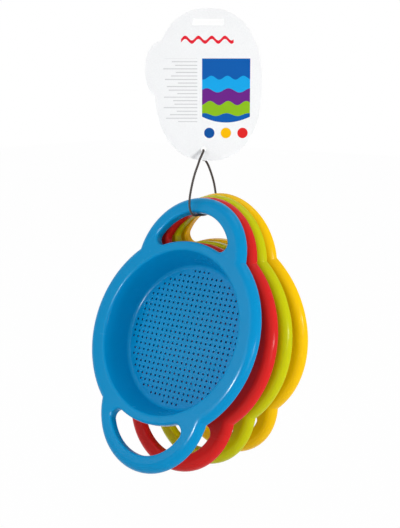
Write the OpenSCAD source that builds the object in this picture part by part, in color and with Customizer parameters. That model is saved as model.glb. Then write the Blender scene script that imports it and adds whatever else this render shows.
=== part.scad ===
// A set of four round sand sieves, nested and hung on one loop of cord from a hang card.
// The origin is the middle of the card's hang slot, +Z is up and the sieves open towards -Y.

/* [Sieve] */
// Diameter over the flange's rolled edge
rim_d = 200; // [180:1:230]
// Thickness of every moulded wall
wall = 1.8; // [1.2:0.1:2]
// Height of the flange's outer edge
lip_h = 9; // [8:0.1:12]
// Straight height left below the roll of the flange's outer edge
lip_flat = 0.5; // [0.2:0.1:2]
// Diameter of the bowl's mouth
bowl_d = 161; // [150:1:166]
// How much narrower the bowl's floor is than its mouth
bowl_taper = 17.5; // [13:0.5:23]
// Depth of the bowl
bowl_depth = 29; // [20:0.5:40]
// Rounding of the bowl's mouth
mouth_r = 3; // [2.4:0.1:4]
// Fillet between the bowl's wall and its floor
floor_fillet_r = 4; // [2:0.5:6]
// Diameter of the moulding's gate mark at the middle of the floor
gate_d = 4.4; // [3:0.1:5]
// Height of the gate mark
gate_h = 0.4; // [0.2:0.1:1]

/* [Perforations] */
// Diameter of each hole
hole_d = 2.3; // [1:0.1:3.5]
// Spacing of the holes, along and across
hole_pitch = 5.7; // [5:0.1:8]
// Distance of the outermost holes' centres from the edge of the bowl's floor
field_margin = 5.15; // [5:0.05:20]

/* [Handles] */
// Distance of each handle's centre from the middle of the sieve
handle_offset = 70.5; // [66:0.5:76]
// Diameter over each handle's rolled edge
handle_d = 129; // [122:1:136]
// Diameter of the grip opening's outer arc
grip_d = 97; // [90:0.5:100]
// Width of the rim left between the bowl's mouth and the grip opening
grip_ledge_w = 8.9; // [7:0.1:12]
// How far the wall round the grip opening stops short of the flange's edge
grip_rise = 0.7; // [0.2:0.1:3]
// Rounding of the grip opening's front edge
grip_edge_r = 2.4; // [2.2:0.1:3]
// Radius of the grip opening's round ends
grip_end_r = 8; // [5:0.5:9]

/* [Hanging] */
// Drop from the hang slot to the edge that each upper handle hangs by
bar_drop = 179.3; // [179.3:0.1:179.6]
// Distance of the front sieve's hanging edge in front of the slot
front_bar_y = 15.8; // [14:0.1:17]
// Clearance between one handle's edge and the front of the next
bar_gap = 1.5; // [1.4:0.1:2]
// How much lower the three rear sieves hang
rear_step = 2; // [1.8:0.1:2.2]
// Lean of the blue sieve, its lower end forward
blue_lean = 22.5; // [20:0.5:23]
// Lean of the red sieve
red_lean = 13; // [13:0.5:15]
// Lean of the lime sieve
lime_lean = 6; // [5:0.5:7]
// Lean of the yellow sieve
yellow_lean = -2; // [-2:0.5:2]

/* [Card] */
// Width of the card's main panel
card_w = 103; // [90:1:120]
// Height of the card's main panel
card_h = 144; // [138:1:150]
// Thickness of the board
card_t = 0.6; // [0.4:0.1:1.5]
// Width of the card's side lobe
lobe_w = 41; // [30:1:50]
// Height of the card's side lobe
lobe_h = 56; // [40:1:70]
// Distance of the lobe's middle left of the slot
lobe_left = 40; // [30:1:50]
// Distance of the lobe's middle below the slot
lobe_drop = 45; // [35:1:60]
// Turn of the card about the vertical, towards +X
card_turn = 39; // [30:1:45]
// Width of the hang slot
slot_w = 30; // [20:1:36]
// Height of the hang slot
slot_h = 6.2; // [5:0.1:8]
// Distance of the slot's middle below the card's top edge
slot_inset = 12.8; // [8:0.1:20]
// Diameter of the cord's hole
cord_hole_d = 5; // [4:0.1:8]
// Distance of the cord's hole below the slot
cord_hole_drop = 120; // [119:0.5:121]
// Distance of the cord's hole left of the slot
cord_hole_left = 4.6; // [4:0.1:5]

/* [Cord] */
// Diameter of the cord
cord_d = 2.2; // [1.8:0.1:2.2]
// Diameter of the knot that closes the loop
knot_d = 5; // [4:0.1:6]
// Length of the knot
knot_h = 6; // [5:0.1:8]

/* [Hidden] */
$fn = 96;

// Overshoot of a cutter past the face that it cuts
over = 1;
// Straight steps in a rounded edge, and in one too small to show
arc_steps = 8;
fine_arc_steps = 2;
fine_arc_r = 1;

// Points of an arc about a centre, between two angles
function arc(centre, r, from, to) =
    let (steps = r < fine_arc_r ? fine_arc_steps : arc_steps)
    [for (i = [0:steps]) let (a = from + (to - from) * i / steps) centre + r * [cos(a), sin(a)]];

// Sieve: one moulding, open side up, with its handles along Y

rim_r = rim_d / 2;
roll_r = lip_h - lip_flat;
handle_r = handle_d / 2;
grip_r = grip_d / 2;
grip_h = lip_h - grip_rise;
bowl_r = bowl_d / 2;
// Diameter of the bowl's floor
floor_d = bowl_d - bowl_taper;
floor_r = floor_d / 2;
draft = atan((bowl_r - floor_r) / bowl_depth);
ledge_r = bowl_r + grip_ledge_w;
field_r = floor_r - field_margin;
screen_r = field_r + hole_d;

// Disc with a rounded upper edge
module rounded_disc(r, edge_r, top, bottom) {
    rotate_extrude()
        polygon(concat([[0, bottom], [r, bottom]], arc([r - edge_r, top - edge_r], edge_r, 0, 90),
                       [[0, top]]));
}

// Cutter for a round hole with a rounded upper edge
module flared_hole(r, edge_r, top, bottom) {
    mouth = r + edge_r;
    rotate_extrude()
        polygon(concat([[0, bottom], [r, bottom]], arc([mouth, top - edge_r], edge_r, 180, 90),
                       [[mouth, top + over], [0, top + over]]));
}

// Flange and handles as one slab with rolled edges, drawn in all round by the inset
module flange(inset, bottom) {
    rounded_disc(rim_r - inset, roll_r - inset, -inset, bottom);
    for (side = [-1, 1])
        translate([0, side * handle_offset])
            rounded_disc(handle_r - inset, roll_r - inset, -inset, bottom);
}

// Bowl as a solid, its surface moved out by the growth
module bowl(grow, top) {
    fillet_centre = [floor_r + floor_fillet_r * (tan(draft) - 1 / cos(draft)), floor_fillet_r - bowl_depth];
    mouth_centre = [bowl_r - mouth_r * (tan(draft) - 1 / cos(draft)), -mouth_r];
    rotate_extrude()
        polygon(concat([[0, -bowl_depth - grow]],
                       arc(fillet_centre, floor_fillet_r + grow, -90, -draft),
                       arc(mouth_centre, mouth_r - grow, 180 - draft, 90),
                       [[mouth_centre[0], top], [0, top]]));
}

// Middle of a grip opening's round end, which bites a little into the walls beside it
end_bite = 0.2;
end_from_rim = ledge_r + grip_end_r - end_bite;
end_from_handle = grip_r - grip_end_r + end_bite;
end_y = (pow(end_from_rim, 2) - pow(end_from_handle, 2) + pow(handle_offset, 2)) / (2 * handle_offset);
end_x = sqrt(pow(end_from_rim, 2) - pow(end_y, 2));
rim_side = atan2(end_y, end_x);
handle_side = atan2(end_y - handle_offset, end_x);

// Narrow corner of a grip opening, past its round end
module grip_corner(grow, bottom) {
    end_r = grip_end_r + grow;
    reach = 4 * end_r;
    difference() {
        rotate((rim_side + handle_side) / 2 - 90)
            translate([end_r * sin((rim_side - handle_side) / 2), -reach, bottom - over])
                cube([reach, 2 * reach, 2 * over - bottom]);
        flared_hole(end_r, grip_edge_r - grow, -grow, bottom - 2 * over);
    }
}

// Grip opening of the upper handle, its walls moved out by the growth
module grip_opening(grow, bottom) {
    difference() {
        translate([0, handle_offset])
            flared_hole(grip_r + grow, grip_edge_r - grow, -grow, bottom);
        rounded_disc(ledge_r - grow, grip_edge_r - grow, -grow, bottom - over);
        for (side = [0, 1])
            mirror([side, 0])
                translate([end_x, end_y])
                    grip_corner(grow, bottom);
    }
}

// Both grip openings
module grip_openings(grow, bottom) {
    for (side = [0, 1])
        mirror([0, side])
            grip_opening(grow, bottom);
}

// Space behind the flange, between the bowl, the grip walls and the rolled edge
module hollow() {
    difference() {
        flange(wall, -lip_h - over);
        bowl(wall, -wall);
        grip_openings(wall, -grip_h);
    }
}

// Square field of holes, kept inside the floor's edge
module perforations() {
    half_count = ceil(field_r / hole_pitch);
    steps = [for (i = [-half_count:half_count - 1]) (i + 0.5) * hole_pitch];
    for (x = steps, y = steps)
        if (norm([x, y]) <= field_r)
            translate([x, y])
                circle(d = hole_d);
}

// Middle of the floor, perforated
module screen() {
    linear_extrude(wall)
        difference() {
            circle(r = screen_r);
            perforations();
        }
}

module sieve() {
    difference() {
        union() {
            flange(0, -lip_h);
            bowl(wall, -wall);
        }
        hollow();
        bowl(0, over);
        grip_openings(0, -lip_h - over);
        translate([0, 0, -bowl_depth - wall - over])
            cylinder(r = screen_r, h = wall + 2 * over);
    }
    translate([0, 0, -bowl_depth - wall])
        screen();
    translate([0, 0, -bowl_depth])
        cylinder(d = gate_d, h = gate_h);
}

// Hanging: each sieve hangs by the front edge of its upper grip opening

hang_edge = handle_offset + grip_r;
bar_pitch = lip_h + bar_gap;

// A sieve hung at its place along the cord, counted from the front
module hung_sieve(place, lean) {
    step = place == 0 ? 0 : rear_step;
    translate([0, place * bar_pitch - front_bar_y, -bar_drop - step])
        rotate([90 - lean, 0, 0])
            translate([0, -hang_edge, 0])
                sieve();
}

module blue_sieve() {
    color("#0090C8") hung_sieve(0, blue_lean);
}

module red_sieve() {
    color("#DC2222") hung_sieve(1, red_lean);
}

module lime_sieve() {
    color("#CCD000") hung_sieve(2, lime_lean);
}

module yellow_sieve() {
    color("#FFC800") hung_sieve(3, yellow_lean);
}

// Card: an oval board with a lobe at its side, in its own plane before it is turned

oval_power = 2.3;
oval_steps = 72;

// Full-cornered oval
module oval(w, h) {
    bulge = function (c) sign(c) * pow(abs(c), 2 / oval_power);
    polygon([for (i = [0:oval_steps - 1]) let (a = i * 360 / oval_steps)
             [w / 2 * bulge(cos(a)), h / 2 * bulge(sin(a))]]);
}

module hang_card() {
    color("#F3F3F1")
        rotate(card_turn)
            rotate([90, 0, 0])
                linear_extrude(card_t, center = true)
                    difference() {
                        union() {
                            translate([0, slot_inset - card_h / 2]) oval(card_w, card_h);
                            translate([-lobe_left, -lobe_drop]) oval(lobe_w, lobe_h);
                        }
                        square([slot_w, slot_h], center = true);
                        translate([-cord_hole_left, -cord_hole_drop]) circle(d = cord_hole_d);
                    }
}

// Cord: from the knot behind the card, through its hole, under the handles and back to the knot

cord_route = [
    [-6.5, 0.5, -129], [-6.3, 0.4, -124.8], [-5.1, -1.1, -121.95], [-3.6, -2.9, -121.2],
    [-2.2, -4.8, -121.85], [-1.6, -7.2, -124.5], [-2.2, -9.9, -129], [-3.2, -12, -135],
    [-4.4, -14.5, -142], [-5.3, -17, -150], [-6, -19.2, -159], [-6.4, -20.6, -167],
    [-6.4, -20.9, -173.5], [-6.2, -19.6, -178.8], [-6, -16.4, -182.5], [-6.1, -12.2, -184],
    [-6.3, -8, -184.12], [-6.8, -2.5, -184.62], [-7.3, 3, -184.98], [-8, 8, -184.75],
    [-8.8, 13.5, -184.24], [-9.8, 18.7, -183.8], [-10.8, 23.6, -183.7], [-11.9, 27.9, -182.5],
    [-12.7, 29.8, -178.6], [-13.3, 29.8, -172], [-13.6, 28.9, -166], [-13.2, 25.8, -156],
    [-12, 20, -146], [-10.3, 12.8, -137], [-8.5, 5.8, -131.4], [-6.5, 0.5, -129]
];
cord_sides = 8;
rings_per_span = 2;

function unit(v) = v / norm(v);

// Point between p[i] and p[i + 1] on the smooth curve through all the points
function curve_point(p, i, t) =
    let (a = p[max(i - 1, 0)], b = p[i], c = p[i + 1], d = p[min(i + 2, len(p) - 1)])
    0.5 * (2 * b + (c - a) * t + (2 * a - 5 * b + 4 * c - d) * t * t + (3 * b - a - 3 * c + d) * t * t * t);

function smooth_path(p) =
    [for (i = [0:len(p) - 2], k = [0:rings_per_span - 1]) curve_point(p, i, k / rings_per_span),
     p[len(p) - 1]];

// Round tube along a path, its rings carried forward without twist
module tube(path, d) {
    last = len(path) - 1;
    ahead = [for (i = [0:last]) unit(path[min(i + 1, last)] - path[max(i - 1, 0)])];
    across = [for (i = 0, n = unit(cross(ahead[0], [1, 0, 0])); i <= last;
                   i = i + 1, n = i > last ? n : unit(n - (n * ahead[i]) * ahead[i])) n];
    rings = [for (i = [0:last], k = [0:cord_sides - 1]) let (a = k * 360 / cord_sides)
             path[i] + d / 2 * (cos(a) * across[i] + sin(a) * cross(ahead[i], across[i]))];
    corner = function (i, k) i * cord_sides + k % cord_sides;
    sides = [for (i = [0:last - 1], k = [0:cord_sides - 1], half = [0, 1])
             half == 0 ? [corner(i, k), corner(i + 1, k), corner(i + 1, k + 1)]
                       : [corner(i, k), corner(i + 1, k + 1), corner(i, k + 1)]];
    ends = [for (k = [1:cord_sides - 2], e = [0, 1])
            e == 0 ? [corner(0, 0), corner(0, k), corner(0, k + 1)]
                   : [corner(last, 0), corner(last, k + 1), corner(last, k)]];
    polyhedron(rings, concat(sides, ends));
}

module hang_cord() {
    color("#33231C") tube(smooth_path(cord_route), cord_d);
}

// Knot at the place where the cord's two ends meet
module cord_knot() {
    knot_r = knot_d / 2;
    color("#2C1D17")
        translate(cord_route[0])
            rotate_extrude()
                polygon(concat([[0, -knot_h / 2]], arc([0, knot_r - knot_h / 2], knot_r, -90, 0),
                               arc([0, knot_h / 2 - knot_r], knot_r, 0, 90)));
}

hang_card();
hang_cord();
cord_knot();
blue_sieve();
red_sieve();
lime_sieve();
yellow_sieve();
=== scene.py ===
# A hung set of four nested sand sieves: moulded sieves, a twisted cord with its knot, and a hang card.
import math

import bpy
from mathutils import Matrix, Vector


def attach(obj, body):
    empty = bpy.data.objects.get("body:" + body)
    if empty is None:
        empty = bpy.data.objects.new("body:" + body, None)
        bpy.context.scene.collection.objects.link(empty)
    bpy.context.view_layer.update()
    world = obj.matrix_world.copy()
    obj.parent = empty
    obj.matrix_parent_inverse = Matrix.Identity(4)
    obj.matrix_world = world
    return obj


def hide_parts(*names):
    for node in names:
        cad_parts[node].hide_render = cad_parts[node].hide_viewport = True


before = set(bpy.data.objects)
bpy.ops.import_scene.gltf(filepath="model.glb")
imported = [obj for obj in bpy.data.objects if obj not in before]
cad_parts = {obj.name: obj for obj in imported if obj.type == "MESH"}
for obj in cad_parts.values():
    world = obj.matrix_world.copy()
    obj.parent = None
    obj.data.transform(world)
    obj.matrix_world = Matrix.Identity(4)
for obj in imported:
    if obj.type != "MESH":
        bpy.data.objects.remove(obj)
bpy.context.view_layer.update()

MM = 0.001
CARD_TURN = math.radians(39)
CORD_DIAMETER = 2.2 * MM
# Strands of the cord, how far each stands out as a share of the radius, and the length of one full twist
CORD_STRANDS = 3
STRAND_BULGE = 0.085
CORD_LAY = 5.2 * MM
# Spacing of the cord's rings, points in a ring, and the ring's radius as a share of the diameter
CORD_STEP = 0.35 * MM
RING_POINTS = 24
RING_SHARE = 0.49
# Distance from the knot's middle at which the cord's two ends go into it
KNOT_REACH = 2.2 * MM
# Points in the knot's turns and in each of its cut ends, and the thickness of its cord against the loop's
KNOT_POINTS = 96
CUT_END_POINTS = 14
KNOT_CORD_SHARE = 0.85
# Corners sharper than this stay creased, and faces turned less than this from flat are shaded flat
CREASE_ANGLE = math.radians(28)
FLAT_COSINE = 0.9995
MERGE_DISTANCE = 0.01 * MM
SIEVE_COLOURS = {
    "blue": (0.0, 0.285, 0.600),
    "red": (0.720, 0.018, 0.016),
    "lime": (0.600, 0.610, 0.002),
    "yellow": (1.0, 0.590, 0.001),
}
# Points in each span of the cord's middle line, and that line in mm, from the knot round to it again
SPAN_POINTS = 8
CORD_ROUTE = [
    (-6.5, 0.5, -129), (-6.3, 0.4, -124.8), (-5.1, -1.1, -121.95), (-3.6, -2.9, -121.2),
    (-2.2, -4.8, -121.85), (-1.6, -7.2, -124.5), (-2.2, -9.9, -129), (-3.2, -12, -135),
    (-4.4, -14.5, -142), (-5.3, -17, -150), (-6, -19.2, -159), (-6.4, -20.6, -167),
    (-6.4, -20.9, -173.5), (-6.2, -19.6, -178.8), (-6, -16.4, -182.5), (-6.1, -12.2, -184),
    (-6.3, -8, -184.12), (-6.8, -2.5, -184.62), (-7.3, 3, -184.98), (-8, 8, -184.75),
    (-8.8, 13.5, -184.24), (-9.8, 18.7, -183.8), (-10.8, 23.6, -183.7), (-11.9, 27.9, -182.5),
    (-12.7, 29.8, -178.6), (-13.3, 29.8, -172), (-13.6, 28.9, -166), (-13.2, 25.8, -156),
    (-12, 20, -146), (-10.3, 12.8, -137), (-8.5, 5.8, -131.4), (-6.5, 0.5, -129),
]


def add_object(name, data):
    piece = bpy.data.objects.new(name, data)
    bpy.context.scene.collection.objects.link(piece)
    return piece


# Node helpers

def feed(tree, socket, value):
    """Links the socket to another node's output, or sets it to a plain value."""
    if hasattr(value, "links"):
        tree.links.new(value, socket)
    else:
        socket.default_value = value


def noise(tree, coords, scale, detail):
    node = tree.nodes.new("ShaderNodeTexNoise")
    for label, value in (("Vector", coords), ("Scale", scale), ("Detail", detail)):
        feed(tree, node.inputs[label], value)
    return node.outputs["Fac"]


def remap(tree, value, low, high, to_low, to_high):
    node = tree.nodes.new("ShaderNodeMapRange")
    for socket, given in zip(node.inputs, (value, low, high, to_low, to_high)):
        feed(tree, socket, given)
    return node.outputs[0]


def maths(tree, operation, a, b=0.0):
    node = tree.nodes.new("ShaderNodeMath")
    node.operation = operation
    for socket, given in zip(node.inputs, (a, b)):
        feed(tree, socket, given)
    return node.outputs[0]


def blend_colours(tree, share, a, b, mode="MIX"):
    node = tree.nodes.new("ShaderNodeMix")
    node.data_type = "RGBA"
    node.blend_type = mode
    for k, given in ((0, share), (6, a), (7, b)):
        feed(tree, node.inputs[k], given)
    return node.outputs[2]


def stretched(tree, coords, scale, turn=(0, 0, 0)):
    node = tree.nodes.new("ShaderNodeMapping")
    for label, value in (("Vector", coords), ("Scale", scale), ("Rotation", turn)):
        feed(tree, node.inputs[label], value)
    return node.outputs["Vector"]


# Camera, light and surroundings

# Soft lamps: place, aim, width, height, power
SOFTBOXES = {
    "left_light": ((-0.45, -1.1, 0.25), (0, -0.03, -0.28), 0.9, 0.9, 5.4),
    "low_light": ((1.0, -0.3, -0.3), (0.04, 0.02, -0.36), 0.3, 0.3, 1.3),
    "right_light": ((1.2, -0.06, -0.22), (0, -0.03, -0.28), 0.1, 0.16, 4.6),
    "top_light": ((0.1, 0.2, 0.9), (0, 0, -0.2), 0.7, 0.7, 2.0),
}
# Narrow lamp that shows only as streaks in the gloss of the rims
STREAK_LIGHT = ((0.08, -1.25, -0.1), (0.0, 0.0, -0.24), 0.06, 0.14, 22.0)
# Floor: its level, half its width, and the share of it that is seen as plain white
FLOOR_LEVEL, FLOOR_HALF, FLOOR_WHITE = -0.475, 4.0, 0.985


def photo_camera():
    place = Vector((0.64209, -0.8027, -0.04455))
    aim = Vector((0.01617, -0.03251, -0.22652))
    lens = bpy.data.cameras.new("photo_camera")
    lens.sensor_fit = "VERTICAL"
    lens.sensor_height = 36
    lens.lens = 72.235
    camera = add_object("photo_camera", lens)
    camera.location = place
    camera.rotation_euler = (aim - place).to_track_quat("-Z", "Y").to_euler()
    bpy.context.scene.camera = camera


def softbox(name, place, aim, width, height, power):
    lamp = bpy.data.lights.new(name, "AREA")
    lamp.shape = "RECTANGLE"
    lamp.size = width
    lamp.size_y = height
    lamp.energy = power
    box = add_object(name, lamp)
    box.location = place
    box.rotation_euler = (Vector(aim) - Vector(place)).to_track_quat("-Z", "Y").to_euler()
    return box


def seen_white(tree):
    """Mask of the rays that see the surroundings as plain white."""
    rays = tree.nodes.new("ShaderNodeLightPath").outputs
    camera_or_gloss = maths(tree, "MAXIMUM", rays["Is Camera Ray"], rays["Is Glossy Ray"])
    return maths(tree, "MAXIMUM", camera_or_gloss, rays["Is Transmission Ray"])


def set_surface(tree, output, share, lit, seen):
    """Ends a tree with one shader for the light it gives and another, by share, for how it is seen."""
    mix = tree.nodes.new("ShaderNodeMixShader")
    tree.links.new(share, mix.inputs[0])
    tree.links.new(lit.outputs[0], mix.inputs[1])
    tree.links.new(seen.outputs[0], mix.inputs[2])
    tree.links.new(mix.outputs[0], output.inputs["Surface"])


def studio():
    world = bpy.data.worlds.new("studio")
    bpy.context.scene.world = world
    world.use_nodes = True
    tree = world.node_tree
    tree.nodes.clear()
    soft = tree.nodes.new("ShaderNodeBackground")
    soft.inputs["Color"].default_value = (0.95, 0.97, 1.0, 1)
    soft.inputs["Strength"].default_value = 0.5
    white = tree.nodes.new("ShaderNodeBackground")
    white.inputs["Color"].default_value = (1, 1, 1, 1)
    set_surface(tree, tree.nodes.new("ShaderNodeOutputWorld"), seen_white(tree), soft, white)
    for name, setting in SOFTBOXES.items():
        softbox(name, *setting)
    streak_light = softbox("streak_light", *STREAK_LIGHT)
    streak_light.visible_diffuse = False
    bpy.context.scene.view_settings.view_transform = "Standard"


def floor():
    sides = ((-1, -1), (1, -1), (1, 1), (-1, 1))
    corners = [(x * FLOOR_HALF, y * FLOOR_HALF, FLOOR_LEVEL) for x, y in sides]
    mesh = bpy.data.meshes.new("floor")
    mesh.from_pydata(corners, [], [(0, 1, 2, 3)])
    piece = add_object("floor", mesh)
    material = bpy.data.materials.new("floor_white")
    material.use_nodes = True
    tree = material.node_tree
    tree.nodes.clear()
    matte = tree.nodes.new("ShaderNodeBsdfDiffuse")
    matte.inputs["Color"].default_value = (0.85, 0.85, 0.85, 1)
    white = tree.nodes.new("ShaderNodeEmission")
    share = maths(tree, "MULTIPLY", seen_white(tree), FLOOR_WHITE)
    set_surface(tree, tree.nodes.new("ShaderNodeOutputMaterial"), share, matte, white)
    mesh.materials.append(material)


# Finishes

# Strength of the gloss, and the depth of the fine relief
SIEVE_SPECULAR, CARD_SPECULAR = 0.09, 0.05
PLASTIC_RELIEF, CORD_RELIEF, CARD_RELIEF = 0.12 * MM, 0.15 * MM, 0.04 * MM


def new_group(name, inputs, outputs):
    group = bpy.data.node_groups.new(name, "ShaderNodeTree")
    for label, kind, value in inputs:
        socket = group.interface.new_socket(label, in_out="INPUT", socket_type=kind)
        socket.default_value = value
    for label, kind in outputs:
        group.interface.new_socket(label, in_out="OUTPUT", socket_type=kind)
    return group, group.nodes.new("NodeGroupInput"), group.nodes.new("NodeGroupOutput")


def moulded_skin_group():
    """Moulded plastic: flow clouds in the colour, smears in the gloss, orange peel and hairline scratches."""
    group, given, out = new_group(
        "moulded_plastic",
        [("Colour", "NodeSocketColor", (0.5, 0.5, 0.5, 1)), ("Clouding", "NodeSocketFloat", 0.06),
         ("Gloss Roughness", "NodeSocketFloat", 0.16), ("Peel Scale", "NodeSocketFloat", 420.0)],
        [("Colour", "NodeSocketColor"), ("Roughness", "NodeSocketFloat"), ("Height", "NodeSocketFloat")])
    coords = group.nodes.new("ShaderNodeTexCoord").outputs["Object"]
    flow = noise(group, stretched(group, coords, (14, 14, 9)), 1.0, 3)
    shade = remap(group, flow, 0.3, 0.7, maths(group, "SUBTRACT", 1.0, given.outputs["Clouding"]), 1.0)
    tint = group.nodes.new("ShaderNodeCombineColor")
    for k in range(3):
        group.links.new(shade, tint.inputs[k])
    clouded = blend_colours(group, 1.0, given.outputs["Colour"], tint.outputs[0], "MULTIPLY")
    group.links.new(clouded, out.inputs["Colour"])
    smear = remap(group, noise(group, stretched(group, coords, (30, 30, 70)), 1.0, 4), 0.42, 0.75, 0.0, 0.14)
    fine = remap(group, noise(group, coords, 160, 2), 0.3, 0.7, 0.0, 0.03)
    lines = noise(group, stretched(group, coords, (900, 45, 45), (0.4, 0.7, 0.5)), 1.0, 2)
    scratch = remap(group, lines, 0.70, 0.78, 0.0, 1.0)
    rough = maths(group, "ADD", given.outputs["Gloss Roughness"], maths(group, "ADD", smear, fine))
    rough = maths(group, "ADD", rough, maths(group, "MULTIPLY", scratch, 0.12))
    group.links.new(rough, out.inputs["Roughness"])
    peel = noise(group, coords, given.outputs["Peel Scale"], 2)
    swell = noise(group, coords, 38, 2)
    height = maths(group, "ADD", maths(group, "MULTIPLY", peel, 0.18), maths(group, "MULTIPLY", swell, 0.8))
    height = maths(group, "SUBTRACT", height, maths(group, "MULTIPLY", scratch, 0.05))
    group.links.new(height, out.inputs["Height"])
    return group


def new_finish(name):
    material = bpy.data.materials.new(name)
    material.use_nodes = True
    tree = material.node_tree
    return material, tree, tree.nodes["Principled BSDF"]


def set_bump(tree, shader, height, distance):
    bump = tree.nodes.new("ShaderNodeBump")
    bump.inputs["Distance"].default_value = distance
    bump.inputs["Strength"].default_value = 1.0
    tree.links.new(height, bump.inputs["Height"])
    tree.links.new(bump.outputs["Normal"], shader.inputs["Normal"])


def sieve_plastic(name, colour, skin):
    material, tree, shader = new_finish(name)
    shader.inputs["IOR"].default_value = 1.49
    shader.inputs["Specular IOR Level"].default_value = SIEVE_SPECULAR
    finish = tree.nodes.new("ShaderNodeGroup")
    finish.node_tree = skin
    finish.inputs["Colour"].default_value = (*colour, 1)
    tree.links.new(finish.outputs["Colour"], shader.inputs["Base Color"])
    tree.links.new(finish.outputs["Roughness"], shader.inputs["Roughness"])
    set_bump(tree, shader, finish.outputs["Height"], PLASTIC_RELIEF)
    return material


def cord_fibre():
    material, tree, shader = new_finish("cord_fibre")
    coords = tree.nodes.new("ShaderNodeTexCoord").outputs["Object"]
    fibre = noise(tree, stretched(tree, coords, (2600, 2600, 500)), 1.0, 3)
    dark, light = (0.012, 0.007, 0.005, 1), (0.05, 0.03, 0.022, 1)
    brown = blend_colours(tree, remap(tree, fibre, 0.3, 0.7, 0.0, 1.0), dark, light)
    tree.links.new(brown, shader.inputs["Base Color"])
    tree.links.new(remap(tree, fibre, 0.2, 0.8, 0.85, 0.6), shader.inputs["Roughness"])
    shader.inputs["Sheen Weight"].default_value = 0.15
    set_bump(tree, shader, fibre, CORD_RELIEF)
    return material


# Geometry Nodes helpers

def new_tree(name, inputs):
    tree = bpy.data.node_groups.new(name, "GeometryNodeTree")
    tree.interface.new_socket("Geometry", in_out="INPUT", socket_type="NodeSocketGeometry")
    sockets = {}
    for label, kind in inputs:
        sockets[label] = tree.interface.new_socket(label, in_out="INPUT", socket_type=kind).identifier
    tree.interface.new_socket("Geometry", in_out="OUTPUT", socket_type="NodeSocketGeometry")
    return tree, sockets, tree.nodes.new("NodeGroupInput"), tree.nodes.new("NodeGroupOutput")


def finish_tree(tree, geometry, given, out):
    realize = tree.nodes.new("GeometryNodeRealizeInstances")
    dress = tree.nodes.new("GeometryNodeSetMaterial")
    tree.links.new(geometry, realize.inputs["Geometry"])
    tree.links.new(realize.outputs["Geometry"], dress.inputs["Geometry"])
    tree.links.new(given.outputs["Material"], dress.inputs["Material"])
    tree.links.new(dress.outputs["Geometry"], out.inputs[0])


def run_tree(piece, tree, sockets, values, even_normals=False):
    """Plain mesh that the tree makes from the piece, with its shading led by the larger faces where asked."""
    modifier = piece.modifiers.new(tree.name, "NODES")
    modifier.node_group = tree
    for label, value in values.items():
        modifier[sockets[label]] = value
    if even_normals:
        evened = piece.modifiers.new("even_normals", "WEIGHTED_NORMAL")
        evened.keep_sharp = True
    graph = bpy.context.evaluated_depsgraph_get()
    graph.update()
    mesh = bpy.data.meshes.new_from_object(piece.evaluated_get(graph), preserve_all_data_layers=True,
                                           depsgraph=graph)
    piece.modifiers.clear()
    return mesh


def smooth_skin_tree():
    """Joins loose triangles and shades them smooth, with creases at sharp corners and flat faces flat."""
    tree, sockets, given, out = new_tree("smooth_skin", [("Merge Distance", "NodeSocketFloat"),
                                                         ("Crease Angle", "NodeSocketFloat"),
                                                         ("Flat Direction", "NodeSocketVector"),
                                                         ("Material", "NodeSocketMaterial")])
    merge = tree.nodes.new("GeometryNodeMergeByDistance")
    angle = tree.nodes.new("GeometryNodeInputMeshEdgeAngle")
    sharp = tree.nodes.new("FunctionNodeCompare")
    sharp.operation = "GREATER_THAN"
    crease = tree.nodes.new("GeometryNodeSetShadeSmooth")
    crease.domain = "EDGE"
    smooth = tree.nodes.new("GeometryNodeSetShadeSmooth")
    smooth.domain = "FACE"
    blunt = tree.nodes.new("FunctionNodeBooleanMath")
    blunt.operation = "NOT"
    normal = tree.nodes.new("GeometryNodeInputNormal")
    facing = tree.nodes.new("ShaderNodeVectorMath")
    facing.operation = "DOT_PRODUCT"
    tree.links.new(normal.outputs["Normal"], facing.inputs[0])
    tree.links.new(given.outputs["Flat Direction"], facing.inputs[1])
    rounded = maths(tree, "LESS_THAN", maths(tree, "ABSOLUTE", facing.outputs["Value"]), FLAT_COSINE)
    tree.links.new(rounded, smooth.inputs["Shade Smooth"])
    tree.links.new(given.outputs["Geometry"], merge.inputs["Geometry"])
    tree.links.new(given.outputs["Merge Distance"], merge.inputs["Distance"])
    tree.links.new(angle.outputs["Unsigned Angle"], sharp.inputs[0])
    tree.links.new(given.outputs["Crease Angle"], sharp.inputs[1])
    tree.links.new(sharp.outputs[0], blunt.inputs[0])
    tree.links.new(merge.outputs["Geometry"], smooth.inputs["Geometry"])
    tree.links.new(smooth.outputs["Geometry"], crease.inputs["Geometry"])
    tree.links.new(blunt.outputs[0], crease.inputs["Shade Smooth"])
    finish_tree(tree, crease.outputs["Geometry"], given, out)
    return tree, sockets


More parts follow.
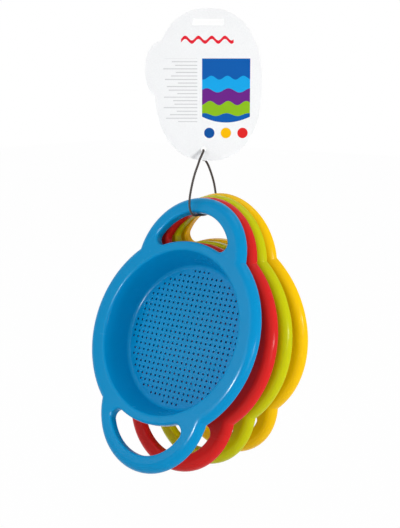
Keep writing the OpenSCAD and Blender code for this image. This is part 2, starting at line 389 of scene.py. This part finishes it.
def twisted_cord_tree():
    """Cord of twisted strands along a curve."""
    tree, sockets, given, out = new_tree("twisted_cord", [("Diameter", "NodeSocketFloat"),
                                                          ("Lay Length", "NodeSocketFloat"),
                                                          ("Step", "NodeSocketFloat"),
                                                          ("Material", "NodeSocketMaterial")])
    resample = tree.nodes.new("GeometryNodeResampleCurve")
    resample.mode = "LENGTH"
    tree.links.new(given.outputs["Geometry"], resample.inputs["Curve"])
    tree.links.new(given.outputs["Step"], resample.inputs["Length"])
    along = tree.nodes.new("GeometryNodeSplineParameter")
    turns = maths(tree, "DIVIDE", along.outputs["Length"], given.outputs["Lay Length"])
    tilt = tree.nodes.new("GeometryNodeSetCurveTilt")
    tree.links.new(resample.outputs["Curve"], tilt.inputs["Curve"])
    tree.links.new(maths(tree, "MULTIPLY", turns, 2 * math.pi), tilt.inputs["Tilt"])
    circle = tree.nodes.new("GeometryNodeCurvePrimitiveCircle")
    circle.inputs["Resolution"].default_value = RING_POINTS
    tree.links.new(maths(tree, "MULTIPLY", given.outputs["Diameter"], RING_SHARE), circle.inputs["Radius"])
    place = tree.nodes.new("GeometryNodeInputPosition")
    split = tree.nodes.new("ShaderNodeSeparateXYZ")
    tree.links.new(place.outputs[0], split.inputs[0])
    angle = maths(tree, "ARCTAN2", split.outputs["Y"], split.outputs["X"])
    strand = maths(tree, "COSINE", maths(tree, "MULTIPLY", angle, CORD_STRANDS))
    lobe = maths(tree, "MULTIPLY", strand, STRAND_BULGE)
    swell = tree.nodes.new("ShaderNodeVectorMath")
    swell.operation = "SCALE"
    tree.links.new(place.outputs[0], swell.inputs[0])
    tree.links.new(maths(tree, "ADD", lobe, 1.0), swell.inputs["Scale"])
    lobed = tree.nodes.new("GeometryNodeSetPosition")
    tree.links.new(circle.outputs["Curve"], lobed.inputs["Geometry"])
    tree.links.new(swell.outputs[0], lobed.inputs["Position"])
    sweep = tree.nodes.new("GeometryNodeCurveToMesh")
    sweep.inputs["Fill Caps"].default_value = True
    tree.links.new(tilt.outputs["Curve"], sweep.inputs["Curve"])
    tree.links.new(lobed.outputs["Geometry"], sweep.inputs["Profile Curve"])
    smooth = tree.nodes.new("GeometryNodeSetShadeSmooth")
    tree.links.new(sweep.outputs["Mesh"], smooth.inputs["Geometry"])
    finish_tree(tree, smooth.outputs["Geometry"], given, out)
    return tree, sockets


# Cord and knot

def smooth_points(points, per_span):
    """Points of the smooth curve through the route, closely spaced."""
    close = []
    last = len(points) - 1
    for i in range(last):
        a, b, c, d = (Vector(points[k]) for k in (max(i - 1, 0), i, i + 1, min(i + 2, last)))
        for k in range(per_span):
            t = k / per_span
            close.append(0.5 * (2 * b + (c - a) * t + (2 * a - 5 * b + 4 * c - d) * t ** 2
                                + (3 * b - a - 3 * c + d) * t ** 3))
    close.append(Vector(points[last]))
    return close


def curve_along(name, routes):
    data = bpy.data.curves.new(name, "CURVE")
    data.dimensions = "3D"
    for route in routes:
        spline = data.splines.new("POLY")
        spline.points.add(len(route) - 1)
        for point, place in zip(spline.points, route):
            point.co = (*place, 1)
    return add_object(name, data)


def swept_cord(name, routes, tree, sockets, diameter, material):
    guide = curve_along(name + "_guide", routes)
    mesh = run_tree(guide, tree, sockets, {"Diameter": diameter, "Lay Length": CORD_LAY, "Step": CORD_STEP,
                                           "Material": material})
    bpy.data.objects.remove(guide)
    mesh.name = name
    return add_object(name, mesh)


def overhand_knot(centre, tree, sockets, material):
    """Tight overhand knot that closes the loop, with two cut ends."""
    turn = Matrix.Rotation(CARD_TURN, 3, "Z") @ Matrix.Rotation(math.radians(90), 3, "X")
    size, rise = 0.68 * MM, 0.8 * MM
    loops = []
    for k in range(KNOT_POINTS + 1):
        t = 2 * math.pi * k / KNOT_POINTS
        loops.append(Vector((size * (math.sin(t) + 2 * math.sin(2 * t)),
                             size * (math.cos(t) - 2 * math.cos(2 * t)),
                             -rise * math.sin(3 * t))))
    routes = [[centre + turn @ p for p in loops]]
    shares = [k / CUT_END_POINTS for k in range(CUT_END_POINTS + 1)]
    for side, lean in ((-1, 0.9), (1, 0.4)):
        start = Vector((side * 0.9, 1.0, 0))
        run = Vector((side * 2.4, 4.5, -lean))
        routes.append([centre + turn @ (start + run * s) * MM for s in shares])
    return swept_cord("overhand_knot", routes, tree, sockets, CORD_DIAMETER * KNOT_CORD_SHARE, material)


def hang_cord(tree, sockets, material):
    route = [p * MM for p in smooth_points(CORD_ROUTE, SPAN_POINTS)]
    centre = Vector(CORD_ROUTE[0]) * MM
    body = [p for p in route if (p - centre).length > KNOT_REACH]
    cord = swept_cord("twisted_hang_cord", [body], tree, sockets, CORD_DIAMETER, material)
    knot = overhand_knot(centre, tree, sockets, material)
    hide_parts("hang_cord")
    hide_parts("cord_knot")
    for piece in (cord, knot):
        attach(piece, "cord")


# Sieves

def flat_direction(mesh):
    """The way that the largest flat area of a moulding faces."""
    facing = {}
    for face in mesh.polygons:
        rough = tuple(round(part, 2) for part in face.normal)
        facing[rough] = facing.get(rough, Vector()) + face.normal * face.area
    return max(facing.values(), key=lambda total: total.length).normalized()


def moulded_sieve(colour, tree, sockets, material):
    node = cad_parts[colour + "_sieve"]
    blank = add_object(colour + "_blank", node.data.copy())
    mesh = run_tree(blank, tree, sockets, {"Merge Distance": MERGE_DISTANCE, "Crease Angle": CREASE_ANGLE,
                                           "Flat Direction": flat_direction(blank.data),
                                           "Material": material}, even_normals=True)
    bpy.data.objects.remove(blank)
    mesh.name = colour + "_moulding"
    piece = add_object(colour + "_moulding", mesh)
    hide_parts(colour + "_sieve")
    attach(piece, colour)


# Card

# Depth behind which the board is raw
COATED_DEPTH = -0.28 * MM
NAVY = (0.004, 0.105, 0.41, 1)
SKY = (0.008, 0.376, 0.79, 1)
PLUM = (0.15, 0.018, 0.24, 1)
LEAF = (0.262, 0.51, 0.012, 1)
CORAL = (0.78, 0.012, 0.03, 1)
RULE_GREY = (0.35, 0.35, 0.36, 1)
# Printed panel: its edges from the hang slot, and how much its lower edge curves
PANEL_LEFT, PANEL_RIGHT, PANEL_TOP, PANEL_BOTTOM = -0.006, 0.040, -0.034, -0.0945
PANEL_CURVE = 10.4
# Bands of the panel: level of the band's upper edge, wave height, waves in radians a metre, shift, colour
PANEL_BANDS = (
    (-0.052, 0.0018, 410, 0.4, SKY),
    (-0.064, 0.0020, 300, 2.0, PLUM),
    (-0.076, 0.0020, 360, 1.0, LEAF),
    (-0.087, 0.0014, 300, 2.6, NAVY),
)
# Waved line above the panel: its ends, level, wave height, waves in radians a metre, half its thickness
LINE_LEFT, LINE_RIGHT, LINE_LEVEL = -0.026, 0.024, -0.0165
LINE_WAVE, LINE_COUNT, LINE_HALF = 0.0022, 500, 0.0016
# Ruled lines beside the panel: lines in a metre, share of ink, middle and play of their ragged ends, edges
RULES_PER_METRE, RULE_SHARE = 300.0, 0.24
RAGGED_END, RAGGED_PLAY, RAGGED_STEP = -0.036, 0.007, 2.3
RULES_RIGHT, RULES_BOTTOM, RULES_TOP = -0.0105, -0.094, -0.034
RULE_STRENGTH = 0.55
# Dots under the panel: level, radius, then distance across and colour of each
DOT_LEVEL, DOT_RADIUS = -0.1045, 0.005
DOTS = (
    (0.001, (0.004, 0.085, 0.34, 1)),
    (0.017, (0.95, 0.50, 0.0, 1)),
    (0.033, (0.75, 0.02, 0.02, 1)),
)


def card_board():
    """Coated board, white in front and raw behind, with a plain seaside print."""
    material, tree, shader = new_finish("card_board")
    coords = tree.nodes.new("ShaderNodeTexCoord").outputs["Object"]
    split = tree.nodes.new("ShaderNodeSeparateXYZ")
    tree.links.new(stretched(tree, coords, (1, 1, 1), (0, 0, -CARD_TURN)), split.inputs[0])
    across, depth, up = split.outputs

    def times(a, b):
        """Product, which for two masks is where both hold."""
        return maths(tree, "MULTIPLY", a, b)

    def plus(a, b):
        return maths(tree, "ADD", a, b)

    def minus(a, b):
        return maths(tree, "SUBTRACT", a, b)

    def above(value, limit):
        return maths(tree, "GREATER_THAN", value, limit)

    def below(value, limit):
        return maths(tree, "LESS_THAN", value, limit)

    def between(value, low, high):
        return times(above(value, low), below(value, high))

    def squared(value):
        return maths(tree, "POWER", value, 2.0)

    def wave(height, count, shift):
        return times(maths(tree, "SINE", plus(times(across, count), shift)), height)

    def disc(x, z, r):
        return below(plus(squared(minus(across, x)), squared(minus(up, z))), r * r)

    fibre = noise(tree, coords, 900, 4)
    coated = blend_colours(tree, remap(tree, fibre, 0.35, 0.65, 0, 1),
                           (0.89, 0.89, 0.887, 1), (0.93, 0.93, 0.925, 1))
    bulge = times(squared(minus(across, (PANEL_LEFT + PANEL_RIGHT) / 2)), PANEL_CURVE)
    upright = times(above(minus(up, bulge), PANEL_BOTTOM), below(up, PANEL_TOP))
    panel = times(between(across, PANEL_LEFT, PANEL_RIGHT), upright)
    art = NAVY
    for level, height, count, shift, colour in PANEL_BANDS:
        art = blend_colours(tree, below(up, plus(wave(height, count, shift), level)), art, colour)
    front = blend_colours(tree, panel, coated, art)
    off_line = minus(minus(up, LINE_LEVEL), wave(LINE_WAVE, LINE_COUNT, 0.0))
    line = times(between(across, LINE_LEFT, LINE_RIGHT), below(maths(tree, "ABSOLUTE", off_line), LINE_HALF))
    front = blend_colours(tree, line, front, CORAL)
    counted = times(up, -RULES_PER_METRE)
    rows = below(maths(tree, "FRACT", counted), RULE_SHARE)
    play = maths(tree, "SINE", times(maths(tree, "FLOOR", counted), RAGGED_STEP))
    ragged = above(across, plus(times(play, RAGGED_PLAY), RAGGED_END))
    edges = times(below(across, RULES_RIGHT), between(up, RULES_BOTTOM, RULES_TOP))
    ruled = times(times(rows, ragged), edges)
    front = blend_colours(tree, times(ruled, RULE_STRENGTH), front, RULE_GREY)
    for x, colour in DOTS:
        front = blend_colours(tree, disc(x, DOT_LEVEL, DOT_RADIUS), front, colour)
    raw = blend_colours(tree, fibre, (0.72, 0.71, 0.68, 1), (0.82, 0.81, 0.79, 1))
    tree.links.new(blend_colours(tree, above(depth, COATED_DEPTH), front, raw), shader.inputs["Base Color"])
    tree.links.new(remap(tree, fibre, 0.3, 0.7, 0.36, 0.5), shader.inputs["Roughness"])
    shader.inputs["Specular IOR Level"].default_value = CARD_SPECULAR
    set_bump(tree, shader, fibre, CARD_RELIEF)
    return material


def hang_card(material):
    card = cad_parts["hang_card"]
    card.data.materials.clear()
    card.data.materials.append(material)


photo_camera()
studio()
floor()
cord_tree, cord_sockets = twisted_cord_tree()
hang_cord(cord_tree, cord_sockets, cord_fibre())
skin = moulded_skin_group()
skin_tree, skin_sockets = smooth_skin_tree()
for colour, shade in SIEVE_COLOURS.items():
    moulded_sieve(colour, skin_tree, skin_sockets, sieve_plastic(colour + "_plastic", shade, skin))
hang_card(card_board())
